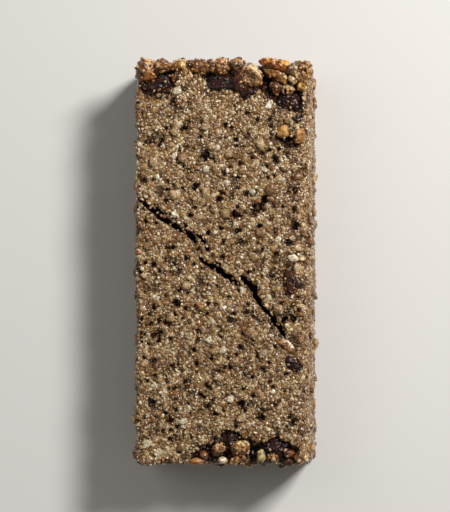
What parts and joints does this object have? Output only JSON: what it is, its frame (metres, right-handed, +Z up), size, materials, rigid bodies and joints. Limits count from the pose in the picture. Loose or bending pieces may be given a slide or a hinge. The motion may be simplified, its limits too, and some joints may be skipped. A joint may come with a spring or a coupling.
{
  "type": "fruit and nut bar",
  "caption": "Pressed bar of fine puffed grain in syrup, with nuts, seeds and sticky dried fruit in its ends and one long edge, and a crack across its flat top.",
  "frame": {"origin": "middle of the flat underside, below the centre of the bar's box", "axes": "+Y along the bar's length to the end with more nuts, +X to the moulded long side that leans out, +Z up out of the top"},
  "size_m": [0.044, 0.0972, 0.0223],
  "materials": {
    "pressed_grain": "fine tan puffed grain held in a thin glossy brown syrup",
    "roasted_nut": "roasted brown nut under a coat of syrup",
    "pale_nut": "pale blanched nut, slightly glossy",
    "amber_seed": "translucent amber seed",
    "candied_orange": "glossy candied orange peel",
    "dark_fruit": "wet-looking dark dried fruit"
  },
  "bodies": {
    "root": {"pressed_block": "pressed_grain", "candied_peel": "candied_orange", "nut_top_left": "roasted_nut", "nut_top_golden": "roasted_nut", "nut_top_brown": "roasted_nut", "nut_top_middle": "roasted_nut", "half_nut": "roasted_nut", "nut_top_round": "roasted_nut", "nut_edge_inner": "roasted_nut", "nut_edge_outer": "roasted_nut", "nut_bottom_left": "roasted_nut", "nut_bottom_big": "roasted_nut", "nut_bottom_pebble": "roasted_nut", "almond_sliver_top": "pale_nut", "almond_sliver_crack": "pale_nut", "nut_edge_pale": "pale_nut", "seed_top_pale": "pale_nut", "seed_bottom_pale": "pale_nut", "seed_top_yellow": "amber_seed", "seed_edge": "amber_seed", "seed_bottom_orange": "amber_seed", "seed_bottom_amber": "amber_seed", "seed_bottom_green": "amber_seed", "seed_bottom_red": "amber_seed", "fruit_top_left": "dark_fruit", "fruit_top_middle": "dark_fruit", "fruit_top_right": "dark_fruit", "fruit_edge": "dark_fruit", "fruit_crack": "dark_fruit", "fruit_bottom_middle": "dark_fruit", "fruit_bottom_right": "dark_fruit"}
  },
  "joints": []
}
